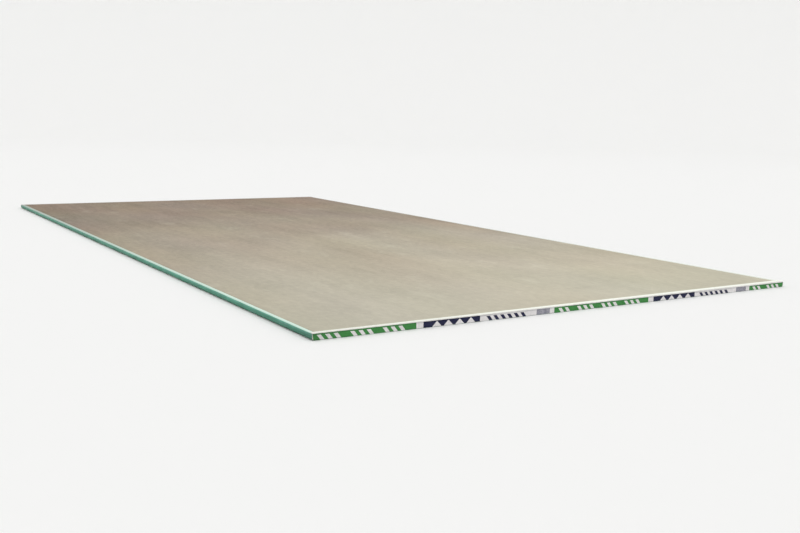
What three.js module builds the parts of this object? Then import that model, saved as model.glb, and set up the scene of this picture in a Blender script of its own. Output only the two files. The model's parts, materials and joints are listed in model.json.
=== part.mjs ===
// A gypsum drywall sheet, 1/2 in x 4 ft x 8 ft, with tapered long edges and a paper tape
// folded over each cut end. It lies face side down, so its back paper is up.
// Millimetres, +Z up, the length along Y, the origin under the middle of the sheet.
import * as THREE from "three";

// The panel.
const sheetWidth = 1219.2; // 4 ft
const sheetLength = 2438.4; // 8 ft
const sheetThickness = 12.7; // 1/2 in, over both papers
const taperWidth = 60; // the thinned strip beside each long edge, on the face side
const taperDepth = 1.5; // how much of the thickness the taper takes off at the edge
const lowerArrisRadius = 2.4; // the eased arris where the face paper turns up
const upperArrisRadius = 1.6; // the arris where it turns over onto the back
const scoreDepth = 0.25; // the crease in the face paper, half way up the edge
const scoreWidth = 1.2;
const foldMargin = 10; // folded face paper that the back paper leaves showing
const backPaperStep = 0.3; // how far the back paper stands above that fold
const backPaperRamp = 0.8; // the width over which the lapped paper runs down to it

// The end tape.
const tapeThickness = 0.2;
const glueLine = 0.05; // the adhesive between the tape and the panel
const tapeFold = 13; // the part folded onto the back
const tapeInset = 1; // the tape stops this far short of each long edge
const tapeCutHeight = 0.4; // the knife cut that parts two taped sheets leaves this bare
const bareMargin = 2; // from the tape to the field of the back that bears on framing

const arrisFacets = 8;
const foldFacets = 4;

const halfWidth = sheetWidth / 2;
const halfLength = sheetLength / 2;
const foldHeight = sheetThickness - backPaperStep; // the top of the folded face paper
const lapFoot = halfWidth - foldMargin; // where the back paper ends
const lapCrown = lapFoot - backPaperRamp; // where it is back at full height

const backPaper = new THREE.MeshStandardMaterial({
  color: 0xb8ad97,
  roughness: 0.9,
  metalness: 0,
});
const printedPaper = new THREE.MeshStandardMaterial({
  color: 0x3f8f3f,
  roughness: 0.6,
  metalness: 0,
});

// Points on a round stretch of an outline, both ends included.
function arc(centreAcross, centreUp, radius, from, to, facets) {
  return Array.from({ length: facets + 1 }, (_, i) => {
    const angle = from + ((to - from) * i) / facets;
    return new THREE.Vector2(
      centreAcross + radius * Math.cos(angle),
      centreUp + radius * Math.sin(angle),
    );
  });
}

// A closed skin over a row of flat outlines, each drawn anticlockwise with the same number of
// points. outlineAt gives the outline at a station, place sets one of its points in space, and
// the stations run the way that the outlines face.
function loft(stations, outlineAt, place) {
  const outlines = stations.map(outlineAt);
  const count = outlines[0].length;
  const last = (stations.length - 1) * count;
  const index = [];
  for (let start = 0; start < last; start += count) {
    for (let i = 0; i < count; i += 1) {
      const here = start + i;
      const next = start + ((i + 1) % count);
      index.push(here, next, next + count, here, next + count, here + count);
    }
  }
  for (const [a, b, c] of THREE.ShapeUtils.triangulateShape(outlines[0], [])) {
    index.push(a, c, b, last + a, last + b, last + c);
  }
  const points = outlines.flatMap((outline, i) => outline.map((p) => place(p, stations[i])));
  const geometry = new THREE.BufferGeometry().setFromPoints(points);
  geometry.setIndex(index);
  geometry.computeVertexNormals();
  return geometry;
}

// The outline of the long edge at +X: out along the taper, round the lower arris, up past the
// score, round the upper arris, in over the folded face paper and up onto the back paper.
function edgeOutline() {
  const taperAngle = Math.atan2(taperDepth, taperWidth);
  const lowerCentre =
    (taperWidth - lowerArrisRadius) * Math.tan(taperAngle) +
    lowerArrisRadius / Math.cos(taperAngle);
  const upperCentre = foldHeight - upperArrisRadius;
  const scoreHeight = (lowerCentre + upperCentre) / 2;
  return [
    new THREE.Vector2(halfWidth - taperWidth, 0),
    ...arc(
      halfWidth - lowerArrisRadius,
      lowerCentre,
      lowerArrisRadius,
      taperAngle - Math.PI / 2,
      0,
      arrisFacets,
    ),
    new THREE.Vector2(halfWidth, scoreHeight - scoreWidth / 2),
    new THREE.Vector2(halfWidth - scoreDepth, scoreHeight),
    new THREE.Vector2(halfWidth, scoreHeight + scoreWidth / 2),
    ...arc(
      halfWidth - upperArrisRadius,
      upperCentre,
      upperArrisRadius,
      0,
      Math.PI / 2,
      arrisFacets,
    ),
    new THREE.Vector2(lapFoot, foldHeight),
    new THREE.Vector2(lapCrown, sheetThickness),
  ];
}

// The panel: one section across the sheet, carried along its length. The stations part the
// back's bare field from the strip under each tape.
function makeSheet() {
  const right = edgeOutline();
  const left = right.map((p) => new THREE.Vector2(-p.x, p.y)).reverse();
  const section = [...right, ...left];
  const bareReach = halfLength - tapeFold - bareMargin;
  const geometry = loft(
    [halfLength, bareReach, -bareReach, -halfLength],
    () => section,
    (p, along) => new THREE.Vector3(p.x, along, p.y),
  );
  const mesh = new THREE.Mesh(geometry, backPaper);
  mesh.name = "drywall_sheet";
  return mesh;
}

// The tape's outline where the back lies at height top: up the cut end, round the fold and in
// over the back, measured out from the cut end and up.
function tapeOutline(top) {
  const seat = top + glueLine;
  return [
    new THREE.Vector2(glueLine + tapeThickness, tapeCutHeight),
    ...arc(glueLine, seat, tapeThickness, 0, Math.PI / 2, foldFacets),
    new THREE.Vector2(-tapeFold, seat + tapeThickness),
    new THREE.Vector2(-tapeFold, seat),
    new THREE.Vector2(glueLine, seat),
    new THREE.Vector2(glueLine, tapeCutHeight),
  ];
}

// One end tape. It lies on the back paper, and beside each long edge it steps down onto the
// folded face paper.
function makeEndTape(name, endAlong, turn) {
  const reach = halfWidth - tapeInset;
  const stations = [
    { across: reach, top: foldHeight },
    { across: lapFoot, top: foldHeight },
    { across: lapCrown, top: sheetThickness },
    { across: -lapCrown, top: sheetThickness },
    { across: -lapFoot, top: foldHeight },
    { across: -reach, top: foldHeight },
  ];
  const geometry = loft(
    stations,
    (station) => tapeOutline(station.top),
    (p, station) => new THREE.Vector3(station.across, -p.x, p.y),
  );
  const mesh = new THREE.Mesh(geometry, printedPaper);
  mesh.name = name;
  mesh.position.y = endAlong;
  mesh.rotation.z = turn;
  return mesh;
}

const drywall = new THREE.Group();
drywall.add(makeSheet());
drywall.add(makeEndTape("end_tape_front", -halfLength, 0));
drywall.add(makeEndTape("end_tape_rear", halfLength, Math.PI));

export default drywall;
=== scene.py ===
"""A gypsum drywall sheet lying on its face: its papers, core and end tapes, in a studio."""

import json
import math

import bpy
from mathutils import Matrix, Vector

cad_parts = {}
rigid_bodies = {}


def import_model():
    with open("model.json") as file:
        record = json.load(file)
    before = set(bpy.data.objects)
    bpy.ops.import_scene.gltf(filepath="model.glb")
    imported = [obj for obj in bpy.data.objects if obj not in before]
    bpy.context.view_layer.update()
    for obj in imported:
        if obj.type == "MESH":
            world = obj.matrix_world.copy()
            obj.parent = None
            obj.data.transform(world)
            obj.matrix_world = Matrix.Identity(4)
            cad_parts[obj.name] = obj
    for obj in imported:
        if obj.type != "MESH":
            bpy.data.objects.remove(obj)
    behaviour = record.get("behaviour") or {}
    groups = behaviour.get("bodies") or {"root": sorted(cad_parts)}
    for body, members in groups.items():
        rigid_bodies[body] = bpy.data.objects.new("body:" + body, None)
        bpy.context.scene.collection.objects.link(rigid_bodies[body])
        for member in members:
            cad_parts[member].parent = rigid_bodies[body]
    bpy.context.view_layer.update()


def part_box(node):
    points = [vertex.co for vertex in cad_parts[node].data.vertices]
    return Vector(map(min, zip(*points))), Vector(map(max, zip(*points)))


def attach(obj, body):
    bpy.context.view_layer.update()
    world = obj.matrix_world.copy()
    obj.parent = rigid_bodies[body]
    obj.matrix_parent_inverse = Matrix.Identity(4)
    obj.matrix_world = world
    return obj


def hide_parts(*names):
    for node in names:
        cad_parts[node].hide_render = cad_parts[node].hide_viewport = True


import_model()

# ---------------------------------------------------------------------------------------
# Face paper
# One sheet of green, wax-sized board paper. It lies under the panel, turns up round both
# eased long edges, where the forming belt creases it, and folds flat onto the back.
# ---------------------------------------------------------------------------------------

MM = 0.001

PANEL_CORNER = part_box("drywall_sheet")[1]
HALF_WIDTH, HALF_LENGTH, THICKNESS = PANEL_CORNER
TAPER_WIDTH = 60 * MM
TAPER_DEPTH = 1.5 * MM
LOWER_ARRIS = 2.4 * MM
UPPER_ARRIS = 1.6 * MM
SCORE_DEPTH = 0.25 * MM
SCORE_WIDTH = 1.2 * MM
FOLD_MARGIN = 10 * MM
LAP_STEP = 0.3 * MM
LAP_RAMP = 0.8 * MM
HIDDEN_FOLD = 14 * MM
FACE_PAPER_THICKNESS = 0.35 * MM
FOLD_HEIGHT = THICKNESS - LAP_STEP
LAP_FOOT = HALF_WIDTH - FOLD_MARGIN
LAP_CROWN = LAP_FOOT - LAP_RAMP
HIDDEN_FOLD_END = LAP_FOOT - HIDDEN_FOLD
TAPER_ANGLE = math.atan2(TAPER_DEPTH, TAPER_WIDTH)
TAPER_RISE = (TAPER_WIDTH - LOWER_ARRIS) * math.tan(TAPER_ANGLE)
LOWER_CENTRE = TAPER_RISE + LOWER_ARRIS / math.cos(TAPER_ANGLE)
UPPER_CENTRE = FOLD_HEIGHT - UPPER_ARRIS
SCORE_HEIGHT = (LOWER_CENTRE + UPPER_CENTRE) / 2
FLAT_FACET = 40 * MM
TAPER_FACET = 10 * MM
FOLD_FACET = 3 * MM
ARRIS_FACETS = 8
STATION_STEP = 10 * MM
CREASE_ANGLE = math.radians(32)


def arc(centre_x, centre_z, radius, start, end, facets):
    """Points on a round stretch of an outline, both ends included."""
    angles = [start + (end - start) * i / facets for i in range(facets + 1)]
    return [(centre_x + radius * math.cos(a), centre_z + radius * math.sin(a)) for a in angles]


def stretch(start, end, step):
    """Points along a straight stretch of an outline, both ends included."""
    count = max(1, round(math.dist(start, end) / step))
    return [
        (start[0] + (end[0] - start[0]) * i / count, start[1] + (end[1] - start[1]) * i / count)
        for i in range(count + 1)
    ]


def face_paper_skin():
    """The paper's outer line, from the end of one hidden fold, round the face, to the other's."""
    lower = arc(
        HALF_WIDTH - LOWER_ARRIS,
        LOWER_CENTRE,
        LOWER_ARRIS,
        TAPER_ANGLE - math.pi / 2,
        0,
        ARRIS_FACETS,
    )
    upper = arc(
        HALF_WIDTH - UPPER_ARRIS, UPPER_CENTRE, UPPER_ARRIS, 0, math.pi / 2, ARRIS_FACETS
    )
    right = [
        *stretch((HALF_WIDTH - TAPER_WIDTH, 0), lower[0], TAPER_FACET),
        *lower[1:],
        (HALF_WIDTH, SCORE_HEIGHT - SCORE_WIDTH / 2),
        (HALF_WIDTH - SCORE_DEPTH, SCORE_HEIGHT),
        (HALF_WIDTH, SCORE_HEIGHT + SCORE_WIDTH / 2),
        *upper,
        *stretch(upper[-1], (HIDDEN_FOLD_END, FOLD_HEIGHT), FOLD_FACET)[1:],
    ]
    left = [(-x, z) for x, z in reversed(right)]
    return [*left, *stretch(left[-1], right[0], FLAT_FACET)[1:-1], *right]


def inset(line, depth):
    """An open line moved to its left by depth, with its corners mitred."""
    moved = []
    for i, point in enumerate(line):
        before = Vector(line[max(i - 1, 0)])
        after = Vector(line[min(i + 1, len(line) - 1)])
        here = Vector(point)
        along = [d.normalized() for d in (here - before, after - here) if d.length > 0]
        normals = [Vector((-d.y, d.x)) for d in along]
        mitre = sum(normals, Vector((0, 0))).normalized()
        moved.append(tuple(here + mitre * depth / mitre.dot(normals[0])))
    return moved


def section_loop(name, outline):
    """An anticlockwise outline as a loop of edges. It is upside down, as a level path turns it."""
    points = [(x, -z, 0) for x, z in reversed(outline)]
    edges = [(i, (i + 1) % len(points)) for i in range(len(points))]
    mesh = bpy.data.meshes.new(name)
    mesh.from_pydata(points, edges, [])
    return mesh


def add(tree, kind, inputs=None, **settings):
    """Adds a node. inputs holds values, other nodes' outputs, or nodes for their first output."""
    made = tree.nodes.new(kind)
    for name, value in settings.items():
        setattr(made, name, value)
    for key, value in (inputs or {}).items():
        if isinstance(value, bpy.types.Node):
            value = next(socket for socket in value.outputs if socket.enabled)
        if isinstance(value, bpy.types.NodeSocket):
            tree.links.new(value, made.inputs[key])
        else:
            made.inputs[key].default_value = value
    return made


def new_tree(name, sockets):
    """A node tree with named inputs, given as (name, kind) pairs, and one geometry output."""
    tree = bpy.data.node_groups.new(name, "GeometryNodeTree")
    for label, kind in sockets:
        tree.interface.new_socket(label, in_out="INPUT", socket_type=f"NodeSocket{kind}")
    tree.interface.new_socket("Result", in_out="OUTPUT", socket_type="NodeSocketGeometry")
    return tree, tree.nodes.new("NodeGroupInput").outputs


def finish_tree(tree, geometry, material):
    """Ends a tree in plain geometry that carries its material."""
    real = add(tree, "GeometryNodeRealizeInstances", {"Geometry": geometry})
    dressed = add(tree, "GeometryNodeSetMaterial", {"Geometry": real, "Material": material})
    add(tree, "NodeGroupOutput", {"Result": dressed})


def grow(name, start_mesh, tree, values):
    """Runs a node tree on a mesh and keeps the result as a plain mesh object."""
    piece = bpy.data.objects.new(name, start_mesh)
    bpy.context.scene.collection.objects.link(piece)
    modifier = piece.modifiers.new(tree.name, "NODES")
    modifier.node_group = tree
    for item in tree.interface.items_tree:
        if item.in_out == "INPUT" and item.name in values:
            modifier[item.identifier] = values[item.name]
    graph = bpy.context.evaluated_depsgraph_get()
    plain = bpy.data.meshes.new_from_object(piece.evaluated_get(graph))
    piece.modifiers.remove(modifier)
    piece.data = plain
    plain.name = name
    plain.shade_smooth()
    plain.set_sharp_from_angle(angle=CREASE_ANGLE)
    return piece


def sweep_tree():
    """Carries a section down a level path, and keeps how far along each point lies."""
    tree, given = new_tree(
        "sweep_section",
        [("Section", "Geometry"), ("Start", "Vector"), ("End", "Vector"), ("Step", "Float")],
    )
    line = add(
        tree, "GeometryNodeCurvePrimitiveLine", {"Start": given["Start"], "End": given["End"]}
    )
    path = add(
        tree, "GeometryNodeResampleCurve", {"Curve": line, "Length": given["Step"]}, mode="LENGTH"
    )
    level = add(tree, "GeometryNodeSetCurveNormal", {"Curve": path}, mode="Z_UP")
    travelled = add(tree, "GeometryNodeSplineParameter").outputs["Length"]
    measured = add(
        tree,
        "GeometryNodeStoreNamedAttribute",
        {"Geometry": level, "Name": "along", "Value": travelled},
    )
    profile = add(tree, "GeometryNodeMeshToCurve", {"Mesh": given["Section"]})
    swept = add(
        tree,
        "GeometryNodeCurveToMesh",
        {"Curve": measured, "Profile Curve": profile, "Fill Caps": True},
    )
    add(tree, "NodeGroupOutput", {"Result": swept})
    return tree


SWEEP = sweep_tree()

LAP_WAVE = 110 * MM
COCKLE_WAVE = 125 * MM
COCKLE_STRETCH = 2.5
NOISE_MIDDLE = 0.5


def panel_layer_tree():
    """A layer of the panel, swept down its length. Its lap line leans and wanders, and its back
    cockles. Both calm down towards the ends, where the tapes hold them."""
    tree, given = new_tree(
        "panel_layer",
        [
            ("Section", "Geometry"),
            ("Half Length", "Float"),
            ("Step", "Float"),
            ("Lap Line", "Float"),
            ("Lap Wander", "Float"),
            ("Lap Lean", "Float"),
            ("Cockle Above", "Float"),
            ("Cockle Depth", "Float"),
            ("Calm Length", "Float"),
            ("Finish", "Material"),
        ],
    )
    front = add(tree, "ShaderNodeMath", {0: given["Half Length"], 1: -1.0}, operation="MULTIPLY")
    start = add(tree, "ShaderNodeCombineXYZ", {"Y": front})
    end = add(tree, "ShaderNodeCombineXYZ", {"Y": given["Half Length"]})
    swept = add(
        tree,
        "GeometryNodeGroup",
        {"Section": given["Section"], "Start": start, "End": end, "Step": given["Step"]},
        node_tree=SWEEP,
    )

    place = add(tree, "GeometryNodeInputPosition")
    apart = add(tree, "ShaderNodeSeparateXYZ", {0: place})
    across = add(tree, "ShaderNodeMath", {0: apart.outputs["X"]}, operation="ABSOLUTE")
    side = add(tree, "ShaderNodeMath", {0: apart.outputs["X"]}, operation="SIGN")
    from_middle = add(tree, "ShaderNodeMath", {0: apart.outputs["Y"]}, operation="ABSOLUTE")
    from_end = add(
        tree,
        "ShaderNodeMath",
        {0: given["Half Length"], 1: from_middle},
        operation="SUBTRACT",
    )
    loose = add(
        tree, "ShaderNodeMapRange", {"Value": from_end, "From Max": given["Calm Length"]}
    )

    side_line = add(tree, "ShaderNodeCombineXYZ", {"X": side, "Y": apart.outputs["Y"]})
    wander = add(
        tree,
        "ShaderNodeTexNoise",
        {"Vector": side_line, "Scale": 1 / LAP_WAVE, "Detail": 3.0, "Roughness": 0.6},
    )
    wander = add(tree, "ShaderNodeMath", {0: wander, 1: NOISE_MIDDLE}, operation="SUBTRACT")
    wander = add(tree, "ShaderNodeMath", {0: wander, 1: loose}, operation="MULTIPLY")
    wander = add(
        tree, "ShaderNodeMath", {0: wander, 1: given["Lap Wander"]}, operation="MULTIPLY"
    )
    lean = add(
        tree,
        "ShaderNodeMath",
        {0: apart.outputs["Y"], 1: given["Half Length"]},
        operation="DIVIDE",
    )
    shift = add(
        tree,
        "ShaderNodeMath",
        {0: lean, 1: given["Lap Lean"], 2: wander},
        operation="MULTIPLY_ADD",
    )
    at_lap = add(
        tree, "FunctionNodeCompare", {0: across, 1: given["Lap Line"]}, operation="GREATER_THAN"
    )
    lapped = add(
        tree,
        "GeometryNodeSetPosition",
        {
            "Geometry": swept,
            "Selection": at_lap,
            "Offset": add(tree, "ShaderNodeCombineXYZ", {"X": shift}),
        },
    )

    squeezed = add(
        tree,
        "ShaderNodeVectorMath",
        {0: place, 1: (1.0, 1 / COCKLE_STRETCH, 1.0)},
        operation="MULTIPLY",
    )
    cockle = add(
        tree, "ShaderNodeTexNoise", {"Vector": squeezed, "Scale": 1 / COCKLE_WAVE, "Detail": 2.0}
    )
    drop = add(tree, "ShaderNodeMath", {0: cockle, 1: loose}, operation="MULTIPLY")
    drop = add(
        tree, "ShaderNodeMath", {0: drop, 1: given["Cockle Depth"]}, operation="MULTIPLY"
    )
    drop = add(tree, "ShaderNodeMath", {0: drop, 1: -1.0}, operation="MULTIPLY")
    on_back = add(
        tree,
        "FunctionNodeCompare",
        {0: apart.outputs["Z"], 1: given["Cockle Above"]},
        operation="GREATER_THAN",
    )
    cockled = add(
        tree,
        "GeometryNodeSetPosition",
        {
            "Geometry": lapped,
            "Selection": on_back,
            "Offset": add(tree, "ShaderNodeCombineXYZ", {"Z": drop}),
        },
    )
    finish_tree(tree, cockled, given["Finish"])
    return tree


PANEL_LAYER = panel_layer_tree()


def linear(colour):
    """A hex sRGB colour as the linear RGBA that a shader takes."""
    parts = [int(colour[i : i + 2], 16) / 255 for i in (1, 3, 5)]
    return [c / 12.92 if c <= 0.04045 else ((c + 0.055) / 1.055) ** 2.4 for c in parts] + [1.0]


def new_finish(name, roughness, ior=1.5):
    """A material with its surface shader: returns the material, its tree and the shader."""
    material = bpy.data.materials.new(name)
    material.use_nodes = True
    tree = material.node_tree
    shader = tree.nodes["Principled BSDF"]
    shader.inputs["Roughness"].default_value = roughness
    shader.inputs["IOR"].default_value = ior
    return material, tree, shader


BELT_STREAK = 4 * MM
STREAK_DRAW = 20
DYE_MOTTLE = 36 * MM
DYE_SPREAD = (0.38, 0.62)
SHADED_FOOT_GREENS = ("#0C573D", "#166E50")
LIT_TOP_GREENS = ("#448C75", "#5BAA92")
SHADE_BELOW = 2 * MM
LIT_ABOVE = 11 * MM
FACE_TONE = 0.5
EDGE_FOOT = 3 * MM
FACE_REACH = 20 * MM
SCUFF_SIZE = 16 * MM
SCUFF_DRAW = 3
SCUFF_SPREAD = (0.58, 0.72)
SCUFF_COVER = 0.5
SCUFF_GREY = "#7A9C97"
SCORE_SHADE_TONE = 0.8
HANDLED_LENGTH = 250 * MM
HANDLED_TONE = 0.78
PALE_FOLD_LEFT = "#919D93"
PALE_FOLD_RIGHT = "#9B988F"
PALE_FOLD_TONES = (0.84, 1.16)
PALE_FOLD_FADE = 0.9 * MM
PALE_FOLD_WANDER = 1 * MM
PALE_FOLD_FULL = THICKNESS
BOARD_FIBRE = 1.1 * MM
FIBRE_RISE = 0.1 * MM


def green_board_paper():
    """Wax-sized kraft board, dyed green and calendered: a mid green on the face, in streaks along
    the belt. The edge is painted darker at its foot and lighter towards its top: painted shade
    and light. Painted shade also darkens the crease of the score, and grime darkens the ends.
    The fold that faces up is paler, and greyer on the right than on the left."""
    material, tree, shader = new_finish("green_sized_board_paper", 0.55)
    place = add(tree, "ShaderNodeTexCoord").outputs["Object"]
    apart = add(tree, "ShaderNodeSeparateXYZ", {0: place})
    height = apart.outputs["Z"]
    drawn = add(
        tree, "ShaderNodeMapping", {"Vector": place, "Scale": (1.0, 1 / STREAK_DRAW, 1.0)}
    )
    streaks = add(
        tree,
        "ShaderNodeTexNoise",
        {"Vector": drawn, "Scale": 1 / BELT_STREAK, "Detail": 3.0, "Roughness": 0.6},
    )
    mottle = add(
        tree, "ShaderNodeTexNoise", {"Vector": place, "Scale": 1 / DYE_MOTTLE, "Detail": 4.0}
    )
    both = add(tree, "ShaderNodeMath", {0: streaks, 1: mottle}, operation="ADD")
    tone = add(tree, "ShaderNodeMath", {0: both, 1: 2.0}, operation="DIVIDE")
    shade_and_lit_ramps = []
    for greens in (SHADED_FOOT_GREENS, LIT_TOP_GREENS):
        green_ramp = add(tree, "ShaderNodeValToRGB", {"Fac": tone})
        for stop, position, green in zip(green_ramp.color_ramp.elements, DYE_SPREAD, greens):
            stop.position = position
            stop.color = linear(green)
        shade_and_lit_ramps.append(green_ramp)
    # Darker at the foot of the edge and lighter towards its top: painted shade and light, not a
    # change in the dye. The face takes the middle of the two.
    rise = add(
        tree,
        "ShaderNodeMapRange",
        {"Value": height, "From Min": SHADE_BELOW, "From Max": LIT_ABOVE},
    )
    across = add(tree, "ShaderNodeMath", {0: apart.outputs["X"]}, operation="ABSOLUTE")
    on_face = add(
        tree,
        "ShaderNodeMapRange",
        {
            "Value": across,
            "From Min": HALF_WIDTH - FACE_REACH,
            "From Max": HALF_WIDTH - EDGE_FOOT,
            "To Min": FACE_TONE,
            "To Max": 0.0,
        },
    )
    rise = add(tree, "ShaderNodeMath", {0: rise, 1: on_face}, operation="MAXIMUM")
    shaded_green = add(
        tree, "ShaderNodeMix", {0: rise, 6: shade_and_lit_ramps[0], 7: shade_and_lit_ramps[1]}, data_type="RGBA"
    ).outputs[2]

    scuffed = add(
        tree, "ShaderNodeMapping", {"Vector": place, "Scale": (1.0, 1 / SCUFF_DRAW, 1.0)}
    )
    scuffs = add(
        tree,
        "ShaderNodeTexNoise",
        {"Vector": scuffed, "Scale": 1 / SCUFF_SIZE, "Detail": 6.0, "Roughness": 0.7},
    )
    scuffs = add(
        tree,
        "ShaderNodeMapRange",
        {
            "Value": scuffs,
            "From Min": SCUFF_SPREAD[0],
            "From Max": SCUFF_SPREAD[1],
            "To Max": SCUFF_COVER,
        },
    )
    shaded_green = add(
        tree, "ShaderNodeMix", {0: scuffs, 6: shaded_green, 7: linear(SCUFF_GREY)}, data_type="RGBA"
    ).outputs[2]

    # Painted shade in the crease of the score; towards the ends, grime darkens the paper.
    from_score = add(tree, "ShaderNodeMath", {0: height, 1: SCORE_HEIGHT}, operation="SUBTRACT")
    from_score = add(tree, "ShaderNodeMath", {0: from_score}, operation="ABSOLUTE")
    shade_and_grime = add(
        tree,
        "ShaderNodeMapRange",
        {"Value": from_score, "From Max": SCORE_WIDTH / 2, "To Min": SCORE_SHADE_TONE},
    )
    from_middle = add(tree, "ShaderNodeMath", {0: apart.outputs["Y"]}, operation="ABSOLUTE")
    handled = add(
        tree,
        "ShaderNodeMapRange",
        {
            "Value": from_middle,
            "From Min": HALF_LENGTH - HANDLED_LENGTH,
            "From Max": HALF_LENGTH,
            "To Min": 1.0,
            "To Max": HANDLED_TONE,
        },
    )
    shade_and_grime = add(tree, "ShaderNodeMath", {0: shade_and_grime, 1: handled}, operation="MULTIPLY")
    shaded_green = add(tree, "ShaderNodeHueSaturation", {"Color": shaded_green, "Value": shade_and_grime})

    # The fold that faces up is painted paler, and greyer on the right than on the left.
    pale_fold_edge = add(
        tree, "ShaderNodeMath", {0: mottle, 1: PALE_FOLD_WANDER, 2: height}, operation="MULTIPLY_ADD"
    )
    pale_fold_mask = add(
        tree,
        "ShaderNodeMapRange",
        {"Value": pale_fold_edge, "From Min": PALE_FOLD_FULL - PALE_FOLD_FADE, "From Max": PALE_FOLD_FULL},
    )
    fold_tones = add(
        tree,
        "ShaderNodeMapRange",
        {"Value": streaks, "To Min": PALE_FOLD_TONES[0], "To Max": PALE_FOLD_TONES[1]},
    )
    from_left = add(
        tree,
        "ShaderNodeMapRange",
        {"Value": apart.outputs["X"], "From Min": -HALF_WIDTH, "From Max": HALF_WIDTH},
    )
    pale_fold_colour = add(
        tree,
        "ShaderNodeMix",
        {0: from_left, 6: linear(PALE_FOLD_LEFT), 7: linear(PALE_FOLD_RIGHT)},
        data_type="RGBA",
    ).outputs[2]
    pale_fold_toned = add(tree, "ShaderNodeHueSaturation", {"Color": pale_fold_colour, "Value": fold_tones})
    colour = add(tree, "ShaderNodeMix", {0: pale_fold_mask, 6: shaded_green, 7: pale_fold_toned}, data_type="RGBA")
    tree.links.new(colour.outputs[2], shader.inputs["Base Color"])

    fibre = add(
        tree,
        "ShaderNodeTexNoise",
        {"Vector": place, "Scale": 1 / BOARD_FIBRE, "Detail": 3.0, "Roughness": 0.7},
    )
    bump = add(
        tree, "ShaderNodeBump", {"Height": fibre, "Strength": 0.6, "Distance": FIBRE_RISE}
    )
    tree.links.new(bump.outputs["Normal"], shader.inputs["Normal"])
    return material


face_skin = face_paper_skin()
face_inside = inset(face_skin, FACE_PAPER_THICKNESS)
face_paper = grow(
    "face_paper",
    section_loop("face_paper_section", [*face_skin, *reversed(face_inside)]),
    PANEL_LAYER,
    {
        "Half Length": HALF_LENGTH,
        "Step": STATION_STEP,
        "Finish": green_board_paper(),
    },
)
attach(face_paper, "root")
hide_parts("drywall_sheet")

# ---------------------------------------------------------------------------------------
# Back paper
# Grey-tan chipboard liner made from recycled pulp. It is bonded over the core and laps
# onto the folds of the face paper, a little askew, and cockles as the wet panel dries.
# ---------------------------------------------------------------------------------------

COCKLE_DEPTH = 0.12 * MM
LAP_WANDER = 1.6 * MM
LAP_LEAN = 2.5 * MM
CALM_LENGTH = 60 * MM
BACK_FACET = 10 * MM


def back_paper_outline():
    """The liner's section: flat underneath, with its laps running out to nothing."""
    top = stretch((LAP_CROWN, THICKNESS), (-LAP_CROWN, THICKNESS), BACK_FACET)
    return [(-LAP_FOOT, FOLD_HEIGHT), (LAP_FOOT, FOLD_HEIGHT), *top]


LINER_FRONT = "#82776A"
LINER_REAR_SHADED = "#847365"
MARKS_FRONT = 0.5
MARKS_REAR = 1.3
LINER_CLOUD = 330 * MM
CALENDER_STREAK = 30 * MM
STREAK_SQUEEZE = 0.12
PULP_FLOCK = 12 * MM
FELT_SQUEEZE = 0.55
RIM_SHADE_REACH = 320 * MM
RIM_SHADE_RUN = (0.0, 550 * MM)
RIM_SHADE_TONE = 0.82
HUE_DRIFT = 240 * MM
HUE_SWING = 0.035
HUE_MIDDLE = 0.5
DYE_DEPTHS = (0.85, 1.15)
FIBRE_FLECK = 3 * MM
RUB_MARK = 70 * MM
FELT_GRAIN = 1.7 * MM
FELT_RISE = 0.1 * MM


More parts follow.
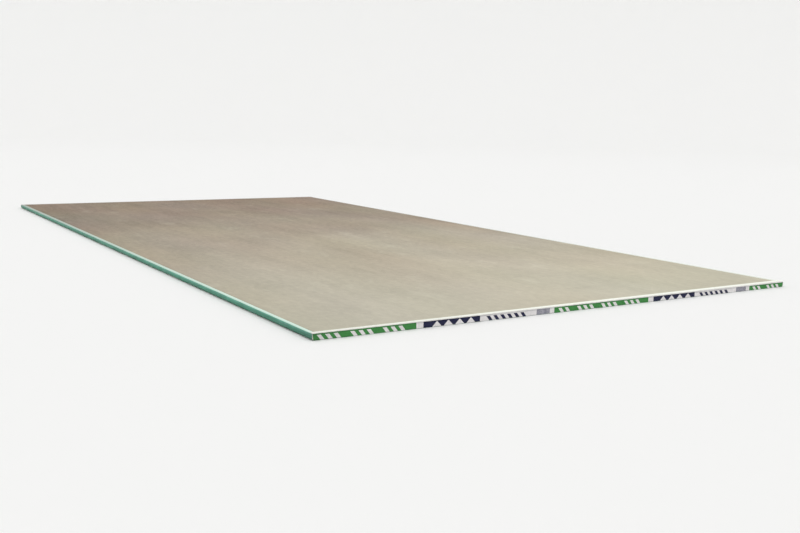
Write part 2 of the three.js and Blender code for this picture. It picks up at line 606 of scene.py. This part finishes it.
def recycled_liner():
    """Uncoated recycled liner, calendered: matt grey-tan with clouded pulp whose hue drifts a
    little, faint streaks along the machine direction, flecks of stray fibre and a few pale rub
    marks, all stronger towards the rear. Painted shade makes the liner browner towards the rear
    and darkens the left rim there. The flecks are drawn at twice their real size, or they would
    not show."""
    material, tree, shader = new_finish("grey_recycled_liner", 0.9)
    shader.inputs["Specular IOR Level"].default_value = 0.15
    place = add(tree, "ShaderNodeTexCoord").outputs["Object"]
    parts = add(tree, "ShaderNodeSeparateXYZ", {0: place})
    across = parts.outputs["X"]
    along = parts.outputs["Y"]
    drawn = add(
        tree, "ShaderNodeMapping", {"Vector": place, "Scale": (1.0, STREAK_SQUEEZE, 1.0)}
    )
    felted = add(
        tree, "ShaderNodeMapping", {"Vector": place, "Scale": (1.0, FELT_SQUEEZE, 1.0)}
    )

    toward_rear = add(
        tree,
        "ShaderNodeMapRange",
        {"Value": along, "From Min": -HALF_LENGTH, "From Max": HALF_LENGTH},
    )
    marked = add(
        tree,
        "ShaderNodeMapRange",
        {"Value": toward_rear, "To Min": MARKS_FRONT, "To Max": MARKS_REAR},
    )
    # Browner and a touch darker towards the rear: painted shade, for the dimmer, warmer light at
    # the far end.
    colour = add(
        tree,
        "ShaderNodeMix",
        {0: toward_rear, 6: linear(LINER_FRONT), 7: linear(LINER_REAR_SHADED)},
        data_type="RGBA",
    ).outputs[2]

    tone = 1.0
    for vector, size, detail, strength in (
        (place, LINER_CLOUD, 2.0, 0.5),
        (drawn, CALENDER_STREAK, 5.0, 0.4),
        (felted, PULP_FLOCK, 5.0, 0.6),
    ):
        grain = add(
            tree,
            "ShaderNodeTexNoise",
            {"Vector": vector, "Scale": 1 / size, "Detail": detail, "Roughness": 0.62},
        )
        centred = add(tree, "ShaderNodeMath", {0: grain, 1: NOISE_MIDDLE}, operation="SUBTRACT")
        centred = add(tree, "ShaderNodeMath", {0: centred, 1: marked}, operation="MULTIPLY")
        tone = add(
            tree, "ShaderNodeMath", {0: centred, 1: strength, 2: tone}, operation="MULTIPLY_ADD"
        )

    # Painted shade: the left rim grows darker towards the rear.
    rim_shade_run = add(
        tree,
        "ShaderNodeMapRange",
        {"Value": along, "From Min": RIM_SHADE_RUN[0], "From Max": RIM_SHADE_RUN[1]},
    )
    rim_shade_depth = add(
        tree, "ShaderNodeMapRange", {"Value": rim_shade_run, "To Min": 1.0, "To Max": RIM_SHADE_TONE}
    )
    rim_shade = add(
        tree,
        "ShaderNodeMapRange",
        {
            "Value": across,
            "From Min": RIM_SHADE_REACH - HALF_WIDTH,
            "From Max": -HALF_WIDTH,
            "To Min": 1.0,
            "To Max": rim_shade_depth,
        },
    )
    tone = add(tree, "ShaderNodeMath", {0: tone, 1: rim_shade}, operation="MULTIPLY")

    drift = add(
        tree, "ShaderNodeTexNoise", {"Vector": felted, "Scale": 1 / HUE_DRIFT, "Detail": 0.0}
    )
    drift = add(tree, "ShaderNodeSeparateColor", {"Color": drift.outputs["Color"]})
    centred = add(
        tree,
        "ShaderNodeMath",
        {0: drift.outputs["Red"], 1: NOISE_MIDDLE},
        operation="SUBTRACT",
    )
    swing = add(tree, "ShaderNodeMath", {0: marked, 1: HUE_SWING}, operation="MULTIPLY")
    hue = add(
        tree, "ShaderNodeMath", {0: centred, 1: swing, 2: HUE_MIDDLE}, operation="MULTIPLY_ADD"
    )
    depth = add(
        tree,
        "ShaderNodeMapRange",
        {
            "Value": drift.outputs["Green"],
            "To Min": DYE_DEPTHS[0],
            "To Max": DYE_DEPTHS[1],
        },
    )
    colour = add(
        tree,
        "ShaderNodeHueSaturation",
        {"Hue": hue, "Saturation": depth, "Color": colour, "Value": tone},
    )

    for vector, size, low, high, cover, tint in (
        (felted, FIBRE_FLECK, 0.62, 0.7, 0.45, "#5D5348"),
        (felted, FIBRE_FLECK, 0.38, 0.3, 0.4, "#B4AA9B"),
        (felted, RUB_MARK, 0.58, 0.74, 0.22, "#A89E90"),
    ):
        grain = add(
            tree,
            "ShaderNodeTexNoise",
            {"Vector": vector, "Scale": 1 / size, "Detail": 4.0, "Roughness": 0.6},
        )
        most = add(tree, "ShaderNodeMath", {0: marked, 1: cover}, operation="MULTIPLY")
        mask = add(
            tree,
            "ShaderNodeMapRange",
            {"Value": grain, "From Min": low, "From Max": high, "To Max": most},
        )
        colour = add(
            tree, "ShaderNodeMix", {0: mask, 6: colour, 7: linear(tint)}, data_type="RGBA"
        ).outputs[2]
    tree.links.new(colour, shader.inputs["Base Color"])

    felt = add(
        tree, "ShaderNodeTexNoise", {"Vector": place, "Scale": 1 / FELT_GRAIN, "Detail": 3.0}
    )
    bump = add(
        tree, "ShaderNodeBump", {"Height": felt, "Strength": 0.35, "Distance": FELT_RISE}
    )
    tree.links.new(bump.outputs["Normal"], shader.inputs["Normal"])
    return material


back_paper = grow(
    "back_paper",
    section_loop("back_paper_section", back_paper_outline()),
    PANEL_LAYER,
    {
        "Half Length": HALF_LENGTH,
        "Step": STATION_STEP,
        "Lap Line": LAP_CROWN - LAP_RAMP,
        "Lap Wander": LAP_WANDER,
        "Lap Lean": LAP_LEAN,
        "Cockle Above": THICKNESS - LAP_STEP / 2,
        "Cockle Depth": COCKLE_DEPTH,
        "Calm Length": CALM_LENGTH,
        "Finish": recycled_liner(),
    },
)
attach(back_paper, "root")
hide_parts("drywall_sheet")

# ---------------------------------------------------------------------------------------
# Gypsum core
# Foamed gypsum plaster, cast wet between the papers and cut square when it has set. It
# shows only at the ends, where the tapes stop short of the corners.
# ---------------------------------------------------------------------------------------

CORE_STEP = 100 * MM
FOAM_BUBBLE = 1.4 * MM
PIT_RIM = 0.35
PIT_DEPTH = 0.3 * MM
PAINTED_PIT_SHADE = "#8F8B83"
PLASTER_WHITE = "#B5B1A8"


def cut_gypsum():
    """Set plaster, sawn: off-white, powdery and matt, pitted by the foam's small bubbles, with
    painted shade in the pits.
    """
    material, tree, shader = new_finish("sawn_foamed_gypsum", 0.95)
    place = add(tree, "ShaderNodeTexCoord").outputs["Object"]
    pits = add(tree, "ShaderNodeTexVoronoi", {"Vector": place, "Scale": 1 / FOAM_BUBBLE})
    # Painted shade: the bottoms of the foam's pits are darker.
    ramp = add(tree, "ShaderNodeValToRGB", {"Fac": pits.outputs["Distance"]})
    ramp.color_ramp.elements[0].color = linear(PAINTED_PIT_SHADE)
    ramp.color_ramp.elements[1].position = PIT_RIM
    ramp.color_ramp.elements[1].color = linear(PLASTER_WHITE)
    tree.links.new(ramp.outputs["Color"], shader.inputs["Base Color"])
    bump = add(
        tree,
        "ShaderNodeBump",
        {"Height": pits.outputs["Distance"], "Strength": 0.5, "Distance": PIT_DEPTH},
    )
    tree.links.new(bump.outputs["Normal"], shader.inputs["Normal"])
    return material


gypsum_core = grow(
    "gypsum_core",
    section_loop(
        "gypsum_core_section",
        [*face_inside, (HIDDEN_FOLD_END, FOLD_HEIGHT), (-HIDDEN_FOLD_END, FOLD_HEIGHT)],
    ),
    PANEL_LAYER,
    {
        "Half Length": HALF_LENGTH,
        "Step": CORE_STEP,
        "Finish": cut_gypsum(),
    },
)
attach(gypsum_core, "root")
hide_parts("drywall_sheet")

# ---------------------------------------------------------------------------------------
# End tapes
# White printed paper tape glued over each cut end and folded onto the back. It held two
# sheets together as a pair, until a knife run between them slit it through its print.
# ---------------------------------------------------------------------------------------

TAPE_THICKNESS = 0.2 * MM
GLUE_LINE = 0.05 * MM
TAPE_FOLD = 13 * MM
TAPE_INSET = 1 * MM
TAPE_CUT_HEIGHT = 0.4 * MM
TAPE_REACH = HALF_WIDTH - TAPE_INSET
TAPE_STEP = 2.5 * MM
TAPE_FACET = 1 * MM
TAPE_FOLD_FACETS = 4
TAPE_SKEW = 3.5 * MM
TAPE_PUCKER = 0.3 * MM
PUCKER_SIZE = 18 * MM
PUCKER_SPREAD = (0.5, 0.8)
PUCKER_START = 0.5 * MM
PUCKER_FULL = 6 * MM
TAPE_FRAY = 0.5 * MM
FRAY_SIZE = 8 * MM
FRAY_SPREAD = (0.35, 0.75)
SLIT_TOLERANCE = 0.1 * MM
CUT_SLANT = 2.2 * MM
CUT_LENGTH = 20 * MM


def tape_outline():
    """The tape's section, measured out from the cut end and up."""
    seat = THICKNESS + GLUE_LINE
    crown = seat + TAPE_THICKNESS
    outside = GLUE_LINE + TAPE_THICKNESS
    return [
        *stretch((outside, TAPE_CUT_HEIGHT), (outside, seat), TAPE_FACET),
        *arc(GLUE_LINE, seat, TAPE_THICKNESS, 0, math.pi / 2, TAPE_FOLD_FACETS)[1:],
        *stretch((GLUE_LINE, crown), (-TAPE_FOLD, crown), TAPE_FACET)[1:],
        *stretch((-TAPE_FOLD, seat), (GLUE_LINE, seat), TAPE_FACET),
        *stretch((GLUE_LINE, seat), (GLUE_LINE, TAPE_CUT_HEIGHT), TAPE_FACET)[1:],
    ]


def tape_tree():
    """The tape, swept across one end: stepped down over the laps, laid a little askew, puckered
    off its glue, and frayed where the knife slit it."""
    tree, given = new_tree(
        "folded_tape",
        [
            ("Section", "Geometry"),
            ("Start", "Vector"),
            ("End", "Vector"),
            ("Step", "Float"),
            ("Lap Crown", "Float"),
            ("Lap Foot", "Float"),
            ("Lap Step", "Float"),
            ("Lap Shift", "Float"),
            ("Panel Half Width", "Float"),
            ("Panel Half Length", "Float"),
            ("Panel Thickness", "Float"),
            ("Fold", "Float"),
            ("Skew", "Float"),
            ("Pucker", "Float"),
            ("Cut Height", "Float"),
            ("Fray", "Float"),
            ("Cut Start", "Float"),
            ("Cut Slant", "Float"),
            ("Finish", "Material"),
        ],
    )
    swept = add(
        tree,
        "GeometryNodeGroup",
        {label: given[label] for label in ("Section", "Start", "End", "Step")},
        node_tree=SWEEP,
    )
    place = add(tree, "GeometryNodeInputPosition")
    apart = add(tree, "ShaderNodeSeparateXYZ", {0: place})
    across = add(
        tree,
        "ShaderNodeMath",
        {0: apart.outputs["X"], 1: given["Lap Shift"]},
        operation="SUBTRACT",
    )
    across = add(tree, "ShaderNodeMath", {0: across}, operation="ABSOLUTE")
    outward = add(tree, "ShaderNodeMath", {0: apart.outputs["Y"]}, operation="SIGN")
    from_middle = add(tree, "ShaderNodeMath", {0: apart.outputs["Y"]}, operation="ABSOLUTE")
    inward = add(
        tree,
        "ShaderNodeMath",
        {0: given["Panel Half Length"], 1: from_middle},
        operation="SUBTRACT",
    )
    below = add(
        tree,
        "ShaderNodeMath",
        {0: given["Panel Thickness"], 1: apart.outputs["Z"]},
        operation="SUBTRACT",
    )

    beside_lap = add(
        tree,
        "ShaderNodeMapRange",
        {
            "Value": across,
            "From Min": given["Lap Crown"],
            "From Max": given["Lap Foot"],
            "To Max": given["Lap Step"],
        },
    )
    high = add(
        tree,
        "ShaderNodeMath",
        {0: apart.outputs["Z"], 1: given["Panel Thickness"]},
        operation="DIVIDE",
    )
    stepped = add(tree, "ShaderNodeMath", {0: beside_lap, 1: high}, operation="MULTIPLY")

    toward_edge = add(
        tree, "ShaderNodeMapRange", {"Value": inward, "From Max": given["Fold"]}
    )
    lean = add(
        tree,
        "ShaderNodeMath",
        {0: apart.outputs["X"], 1: given["Panel Half Width"]},
        operation="DIVIDE",
    )
    askew = add(tree, "ShaderNodeMath", {0: lean, 1: given["Skew"]}, operation="MULTIPLY")
    askew = add(tree, "ShaderNodeMath", {0: askew, 1: toward_edge}, operation="MULTIPLY")

    wide = add(tree, "ShaderNodeMath", {0: apart.outputs["X"]}, operation="ABSOLUTE")
    at_cut = add(
        tree,
        "ShaderNodeMapRange",
        {
            "Value": wide,
            "From Min": given["Cut Start"],
            "From Max": given["Panel Half Width"],
            "To Max": given["Cut Slant"],
        },
    )
    low = add(
        tree,
        "ShaderNodeMath",
        {0: below, 1: given["Panel Thickness"]},
        operation="DIVIDE",
        use_clamp=True,
    )
    short = add(tree, "ShaderNodeMath", {0: at_cut, 1: low}, operation="MULTIPLY")
    short = add(tree, "ShaderNodeMath", {0: short, 1: lean}, operation="MULTIPLY")
    short = add(tree, "ShaderNodeMath", {0: short, 1: -1.0}, operation="MULTIPLY")

    waves = add(
        tree, "ShaderNodeTexNoise", {"Vector": place, "Scale": 1 / PUCKER_SIZE, "Detail": 3.0}
    )
    lift = add(
        tree,
        "ShaderNodeMapRange",
        {
            "Value": waves,
            "From Min": PUCKER_SPREAD[0],
            "From Max": PUCKER_SPREAD[1],
            "To Max": given["Pucker"],
        },
    )
    on_back = add(
        tree,
        "ShaderNodeMapRange",
        {"Value": inward, "From Min": PUCKER_START, "From Max": PUCKER_FULL},
    )
    on_end = add(
        tree,
        "ShaderNodeMapRange",
        {"Value": below, "From Min": PUCKER_START, "From Max": PUCKER_FULL},
    )
    up = add(tree, "ShaderNodeMath", {0: lift, 1: on_back}, operation="MULTIPLY")
    out = add(tree, "ShaderNodeMath", {0: lift, 1: on_end}, operation="MULTIPLY")

    at_slit = add(
        tree,
        "ShaderNodeMath",
        {0: apart.outputs["Z"], 1: given["Cut Height"], 2: SLIT_TOLERANCE},
        operation="COMPARE",
    )
    fibres = add(
        tree, "ShaderNodeTexNoise", {"Vector": place, "Scale": 1 / FRAY_SIZE, "Detail": 4.0}
    )
    frayed = add(
        tree,
        "ShaderNodeMapRange",
        {
            "Value": fibres,
            "From Min": FRAY_SPREAD[0],
            "From Max": FRAY_SPREAD[1],
            "To Max": given["Fray"],
        },
    )
    frayed = add(tree, "ShaderNodeMath", {0: frayed, 1: at_slit}, operation="MULTIPLY")

    up = add(tree, "ShaderNodeMath", {0: up, 1: stepped}, operation="SUBTRACT")
    up = add(tree, "ShaderNodeMath", {0: up, 1: frayed}, operation="ADD")
    out = add(tree, "ShaderNodeMath", {0: out, 1: askew}, operation="SUBTRACT")
    out = add(tree, "ShaderNodeMath", {0: out, 1: outward}, operation="MULTIPLY")
    laid = add(
        tree,
        "GeometryNodeSetPosition",
        {
            "Geometry": swept,
            "Offset": add(tree, "ShaderNodeCombineXYZ", {"X": short, "Y": out, "Z": up}),
        },
    )
    finish_tree(tree, laid, given["Finish"])
    return tree


FOLDED_TAPE = tape_tree()

TAPE_WHITE = "#CFC9C9"
TAPE_ON_LINER = "#A69E97"
GREEN_INK = "#367639"
NAVY_INK = "#131536"
GREY_INK = "#42445C"
PRINT_REPEAT = 575 * MM
PRINT_START = 51 * MM
GREEN_FIELD = (0, 256 * MM)
GREEN_BARS = (10.2 * MM, 240 * MM)
NAVY_FIELD = (271 * MM, 396 * MM)
NAVY_LOZENGES = (288 * MM, 388 * MM)
DASH_FIELD = (410.2 * MM, 506.2 * MM)
HATCH_FIELD = (530 * MM, 563 * MM)
BAR_START = 2 * MM
BAR_PITCH = 16 * MM
BAR_WIDTH = 8 * MM
BAR_HEIGHT = 9.5 * MM
BAR_RAKE = 0.8
BARS_TO_A_GROUP = 3
LOZENGE_PITCH = 25 * MM
LOZENGE_HALF = 11 * MM
HATCH_PITCH = 3 * MM
HATCH_WIDTH = 2 * MM
PRINT_MARGIN = 0.8 * MM
PRINT_TOP = THICKNESS - PRINT_MARGIN
PRINT_DRIFT = 1.3 * MM
CREASE_SHADE_BAND = 3.2 * MM
CREASE_SHADE_PATCH = 45 * MM
CREASE_SHADE_SPREAD = (0.35, 0.65)
CREASE_SHADE_TONES = (0.45, 0.8)
CORNER_SHADE_REACH = 55 * MM
CORNER_SHADE_TONE = 0.84
CORNER_CREASE_SHADE_REACH = 12 * MM
CORNER_CREASE_SHADE_TONE = 0.5
INK_MOTTLE = 5 * MM
MOTTLE_TONES = (0.84, 1.16)
INK_STREAK = 2.5 * MM
STREAK_TONES = (0.86, 1.14)
STREAK_RISE = 12
TAPE_WRINKLE = 7 * MM
WRINKLE_RISE = 0.3 * MM
TAPE_FIBRE = 0.9 * MM
TAPE_FIBRE_RISE = 0.06 * MM


def printed_tape():
    """White paper tape, printed in flat inks: crisp fields of green and navy with a slight
    gloss, uneven where the ink is thin, with painted shade along the fold and at one corner. The
    paper is thin, so it greys where it lies on the liner. The print drifts down along the tape,
    and a knife has slit it along its middle, so this is its upper half."""
    material, tree, shader = new_finish("printed_paper_tape", 0.7)
    shader.inputs["Specular IOR Level"].default_value = 0.3
    along = add(tree, "ShaderNodeAttribute", attribute_name="along").outputs["Fac"]
    place = add(tree, "ShaderNodeTexCoord").outputs["Object"]
    height = add(tree, "ShaderNodeSeparateXYZ", {0: place}).outputs["Z"]
    level = add(
        tree,
        "ShaderNodeMath",
        {0: along, 1: PRINT_DRIFT / (2 * TAPE_REACH), 2: height},
        operation="MULTIPLY_ADD",
    )
    started = add(tree, "ShaderNodeMath", {0: along, 1: PRINT_START}, operation="ADD")
    spot = add(tree, "ShaderNodeMath", {0: started, 1: PRINT_REPEAT}, operation="MODULO")

    from_bars = add(tree, "ShaderNodeMath", {0: spot, 1: BAR_START}, operation="SUBTRACT")
    raked = add(
        tree, "ShaderNodeMath", {0: level, 1: BAR_RAKE, 2: from_bars}, operation="MULTIPLY_ADD"
    )
    bars = add(tree, "ShaderNodeMath", {0: raked, 1: BAR_PITCH}, operation="FLOORED_MODULO")
    bars = add(tree, "ShaderNodeMath", {0: bars, 1: BAR_WIDTH}, operation="LESS_THAN")
    low = add(tree, "ShaderNodeMath", {0: level, 1: BAR_HEIGHT}, operation="LESS_THAN")
    bars = add(tree, "ShaderNodeMath", {0: bars, 1: low}, operation="MULTIPLY")
    group = add(
        tree,
        "ShaderNodeMath",
        {0: raked, 1: (BARS_TO_A_GROUP + 1) * BAR_PITCH},
        operation="FLOORED_MODULO",
    )
    group = add(
        tree,
        "ShaderNodeMath",
        {0: group, 1: BARS_TO_A_GROUP * BAR_PITCH},
        operation="LESS_THAN",
    )
    grouped_bars = add(tree, "ShaderNodeMath", {0: bars, 1: group}, operation="MULTIPLY")

    lozenges = add(tree, "ShaderNodeMath", {0: spot, 1: LOZENGE_PITCH / 2}, operation="PINGPONG")
    lozenges = add(tree, "ShaderNodeMath", {0: lozenges, 1: level}, operation="ADD")
    lozenges = add(
        tree, "ShaderNodeMath", {0: lozenges, 1: LOZENGE_HALF}, operation="LESS_THAN"
    )

    hatch = add(tree, "ShaderNodeMath", {0: spot, 1: HATCH_PITCH}, operation="MODULO")
    hatch = add(tree, "ShaderNodeMath", {0: hatch, 1: HATCH_WIDTH}, operation="LESS_THAN")

    colour = linear(TAPE_WHITE)
    for (start, end), motif, ink in (
        (GREEN_FIELD, None, GREEN_INK),
        (GREEN_BARS, grouped_bars, TAPE_WHITE),
        (NAVY_FIELD, None, NAVY_INK),
        (NAVY_LOZENGES, lozenges, TAPE_WHITE),
        (DASH_FIELD, bars, NAVY_INK),
        (HATCH_FIELD, hatch, GREY_INK),
    ):
        mask = add(
            tree,
            "ShaderNodeMath",
            {0: spot, 1: (start + end) / 2, 2: (end - start) / 2},
            operation="COMPARE",
        )
        if motif:
            mask = add(tree, "ShaderNodeMath", {0: mask, 1: motif}, operation="MULTIPLY")
        colour = add(
            tree, "ShaderNodeMix", {0: mask, 6: colour, 7: linear(ink)}, data_type="RGBA"
        ).outputs[2]

    # Painted shade: a patchy dark band in the crease under the fold, deepest at the tape's first
    # corner, and a darkening of the end near that corner.
    crease_shade_patches = add(
        tree, "ShaderNodeTexNoise", {"Vector": place, "Scale": 1 / CREASE_SHADE_PATCH, "Detail": 4.0}
    )
    crease_shade_depth = add(
        tree,
        "ShaderNodeMapRange",
        {
            "Value": crease_shade_patches,
            "From Min": CREASE_SHADE_SPREAD[0],
            "From Max": CREASE_SHADE_SPREAD[1],
            "To Min": CREASE_SHADE_TONES[0],
            "To Max": CREASE_SHADE_TONES[1],
        },
    )
    corner_crease_shade = add(
        tree,
        "ShaderNodeMapRange",
        {"Value": along, "From Max": CORNER_CREASE_SHADE_REACH, "To Min": CORNER_CREASE_SHADE_TONE},
    )
    crease_shade_depth = add(tree, "ShaderNodeMath", {0: crease_shade_depth, 1: corner_crease_shade}, operation="MULTIPLY")
    crease_shade = add(
        tree,
        "ShaderNodeMapRange",
        {
            "Value": level,
            "From Min": PRINT_TOP - CREASE_SHADE_BAND,
            "From Max": PRINT_TOP,
            "To Min": 1.0,
            "To Max": crease_shade_depth,
        },
    )
    corner_shade = add(
        tree,
        "ShaderNodeMapRange",
        {"Value": along, "From Max": CORNER_SHADE_REACH, "To Min": CORNER_SHADE_TONE},
    )
    painted_shade = add(tree, "ShaderNodeMath", {0: crease_shade, 1: corner_shade}, operation="MULTIPLY")
    colour = add(tree, "ShaderNodeHueSaturation", {"Color": colour, "Value": painted_shade})
    for measure, above, bare in (
        (level, PRINT_TOP, TAPE_WHITE),
        (height, FOLD_HEIGHT, TAPE_ON_LINER),
    ):
        mask = add(tree, "ShaderNodeMath", {0: measure, 1: above}, operation="GREATER_THAN")
        colour = add(
            tree, "ShaderNodeMix", {0: mask, 6: colour, 7: linear(bare)}, data_type="RGBA"
        ).outputs[2]

    mottle = add(
        tree, "ShaderNodeTexNoise", {"Vector": place, "Scale": 1 / INK_MOTTLE, "Detail": 3.0}
    )
    strength = add(
        tree,
        "ShaderNodeMapRange",
        {"Value": mottle, "To Min": MOTTLE_TONES[0], "To Max": MOTTLE_TONES[1]},
    )
    risen = add(
        tree, "ShaderNodeMapping", {"Vector": place, "Scale": (1.0, 1.0, 1 / STREAK_RISE)}
    )
    streak = add(
        tree, "ShaderNodeTexNoise", {"Vector": risen, "Scale": 1 / INK_STREAK, "Detail": 2.0}
    )
    streak = add(
        tree,
        "ShaderNodeMapRange",
        {"Value": streak, "To Min": STREAK_TONES[0], "To Max": STREAK_TONES[1]},
    )
    strength = add(tree, "ShaderNodeMath", {0: strength, 1: streak}, operation="MULTIPLY")
    colour = add(tree, "ShaderNodeHueSaturation", {"Color": colour, "Value": strength})
    tree.links.new(colour.outputs["Color"], shader.inputs["Base Color"])

    wrinkle = add(
        tree, "ShaderNodeTexNoise", {"Vector": place, "Scale": 1 / TAPE_WRINKLE, "Detail": 2.0}
    )
    bump = add(
        tree, "ShaderNodeBump", {"Height": wrinkle, "Strength": 0.5, "Distance": WRINKLE_RISE}
    )
    fibre = add(
        tree, "ShaderNodeTexNoise", {"Vector": place, "Scale": 1 / TAPE_FIBRE, "Detail": 2.0}
    )
    bump = add(
        tree,
        "ShaderNodeBump",
        {"Height": fibre, "Strength": 0.5, "Distance": TAPE_FIBRE_RISE, "Normal": bump},
    )
    tree.links.new(bump.outputs["Normal"], shader.inputs["Normal"])
    return material


tape_finish = printed_tape()
for name, node, facing in (
    ("front_tape", "end_tape_front", -1),
    ("rear_tape", "end_tape_rear", 1),
):
    tape = grow(
        name,
        section_loop(name + "_section", tape_outline()),
        FOLDED_TAPE,
        {
            "Start": (facing * TAPE_REACH, facing * HALF_LENGTH, 0),
            "End": (-facing * TAPE_REACH, facing * HALF_LENGTH, 0),
            "Step": TAPE_STEP,
            "Lap Crown": LAP_CROWN,
            "Lap Foot": LAP_FOOT,
            "Lap Step": LAP_STEP,
            "Lap Shift": facing * LAP_LEAN,
            "Panel Half Width": HALF_WIDTH,
            "Panel Half Length": HALF_LENGTH,
            "Panel Thickness": THICKNESS,
            "Fold": TAPE_FOLD,
            "Skew": TAPE_SKEW,
            "Pucker": TAPE_PUCKER,
            "Cut Height": TAPE_CUT_HEIGHT,
            "Fray": TAPE_FRAY,
            "Cut Start": HALF_WIDTH - CUT_LENGTH,
            "Cut Slant": CUT_SLANT,
            "Finish": tape_finish,
        },
    )
    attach(tape, "root")
    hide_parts(node)

# ---------------------------------------------------------------------------------------
# Studio
# A pale seamless floor that curves up into a round wall, a soft key from the front right,
# and an even white sky. The camera is low, off the near left corner.
# ---------------------------------------------------------------------------------------

INNER_FLOOR_RADIUS = 3.0
FLOOR_RADIUS = 10.0
COVE_RADIUS = 3.0
COVE_FACETS = 16
WALL_HEIGHT = 5.0
FLOOR_DROP = 0.1 * MM
FLOOR_SEGMENTS = 96
FLOOR_WHITE = "#F7F7F6"


def studio_shell():
    """The floor, the cove and the wall as one turned surface, facing inwards."""
    cove = arc(FLOOR_RADIUS, COVE_RADIUS, COVE_RADIUS, -math.pi / 2, 0, COVE_FACETS)
    profile = [
        (0.0, 0.0),
        (INNER_FLOOR_RADIUS, 0.0),
        (FLOOR_RADIUS, 0.0),
        *cove[1:],
        (FLOOR_RADIUS + COVE_RADIUS, WALL_HEIGHT),
    ]
    points = [(0.0, 0.0, -FLOOR_DROP)]
    for radius, height in profile[1:]:
        for i in range(FLOOR_SEGMENTS):
            turn = 2 * math.pi * i / FLOOR_SEGMENTS
            points.append(
                (radius * math.cos(turn), radius * math.sin(turn), height - FLOOR_DROP)
            )
    faces = [(0, 1 + i, 1 + (i + 1) % FLOOR_SEGMENTS) for i in range(FLOOR_SEGMENTS)]
    for ring in range(len(profile) - 2):
        low = 1 + ring * FLOOR_SEGMENTS
        for i in range(FLOOR_SEGMENTS):
            j = (i + 1) % FLOOR_SEGMENTS
            faces.append(
                (low + i, low + FLOOR_SEGMENTS + i, low + FLOOR_SEGMENTS + j, low + j)
            )
    mesh = bpy.data.meshes.new("studio_shell")
    mesh.from_pydata(points, [], faces)
    mesh.shade_smooth()
    return mesh


floor_finish, floor_tree, floor_shader = new_finish("pale_matt_floor", 0.9)
floor_shader.inputs["Base Color"].default_value = linear(FLOOR_WHITE)
shell = bpy.data.objects.new("studio_shell", studio_shell())
shell.data.materials.append(floor_finish)
bpy.context.scene.collection.objects.link(shell)

SKY_WHITE = "#FFFFFF"
SKY_STRENGTH = 1.0

world = bpy.data.worlds.new("white_sky")
world.use_nodes = True
sky = world.node_tree.nodes["Background"]
sky.inputs["Color"].default_value = linear(SKY_WHITE)
sky.inputs["Strength"].default_value = SKY_STRENGTH
bpy.context.scene.world = world


def look_at(obj, place, aim, roll=0.0):
    """Sets an object at a place, with its -Z axis on the aim and a turn about that axis."""
    turn = (Vector(aim) - Vector(place)).to_track_quat("-Z", "Y").to_matrix().to_4x4()
    obj.matrix_world = Matrix.Translation(place) @ turn @ Matrix.Rotation(roll, 4, "Z")


KEY_WIDTH = 1.8
KEY_DEPTH = 1.2
KEY_POWER = 72
KEY_COLOUR = (0.82, 1.0, 1.0)
KEY_PLACE = (0.2, -1.3, 1.8)
KEY_AIM = (0.1, -0.8, 0.0)

key_data = bpy.data.lights.new("key_softbox", "AREA")
key_data.shape = "RECTANGLE"
key_data.size = KEY_WIDTH
key_data.size_y = KEY_DEPTH
key_data.energy = KEY_POWER
key_data.color = KEY_COLOUR
key = bpy.data.objects.new("key_softbox", key_data)
bpy.context.scene.collection.objects.link(key)
key.visible_camera = False
look_at(key, KEY_PLACE, KEY_AIM)
sheet_pieces = bpy.data.collections.new("sheet_pieces")
for piece in bpy.context.scene.objects:
    if piece.type == "MESH" and piece != shell:
        sheet_pieces.objects.link(piece)
key.light_linking.receiver_collection = sheet_pieces

CAMERA_PLACE = Vector((-1.3144, -2.6157, 0.3698))
CAMERA_AIM = Vector((0.5169, 0.8223, -0.2381))
CAMERA_ROLL = math.radians(1.26)
CAMERA_LIFT = math.radians(4.96)
LENS = 43.3
SENSOR_WIDTH = 36
CLIP_END = 60

camera_data = bpy.data.cameras.new("camera")
camera_data.lens = LENS
camera_data.sensor_width = SENSOR_WIDTH
camera_data.clip_end = CLIP_END
camera = bpy.data.objects.new("camera", camera_data)
bpy.context.scene.collection.objects.link(camera)
look_at(camera, CAMERA_PLACE, CAMERA_PLACE + CAMERA_AIM, CAMERA_ROLL)
camera.matrix_world = camera.matrix_world @ Matrix.Rotation(CAMERA_LIFT, 4, "X")
bpy.context.scene.camera = camera

bpy.context.scene.view_settings.view_transform = "Standard"

bpy.context.view_layer.update()
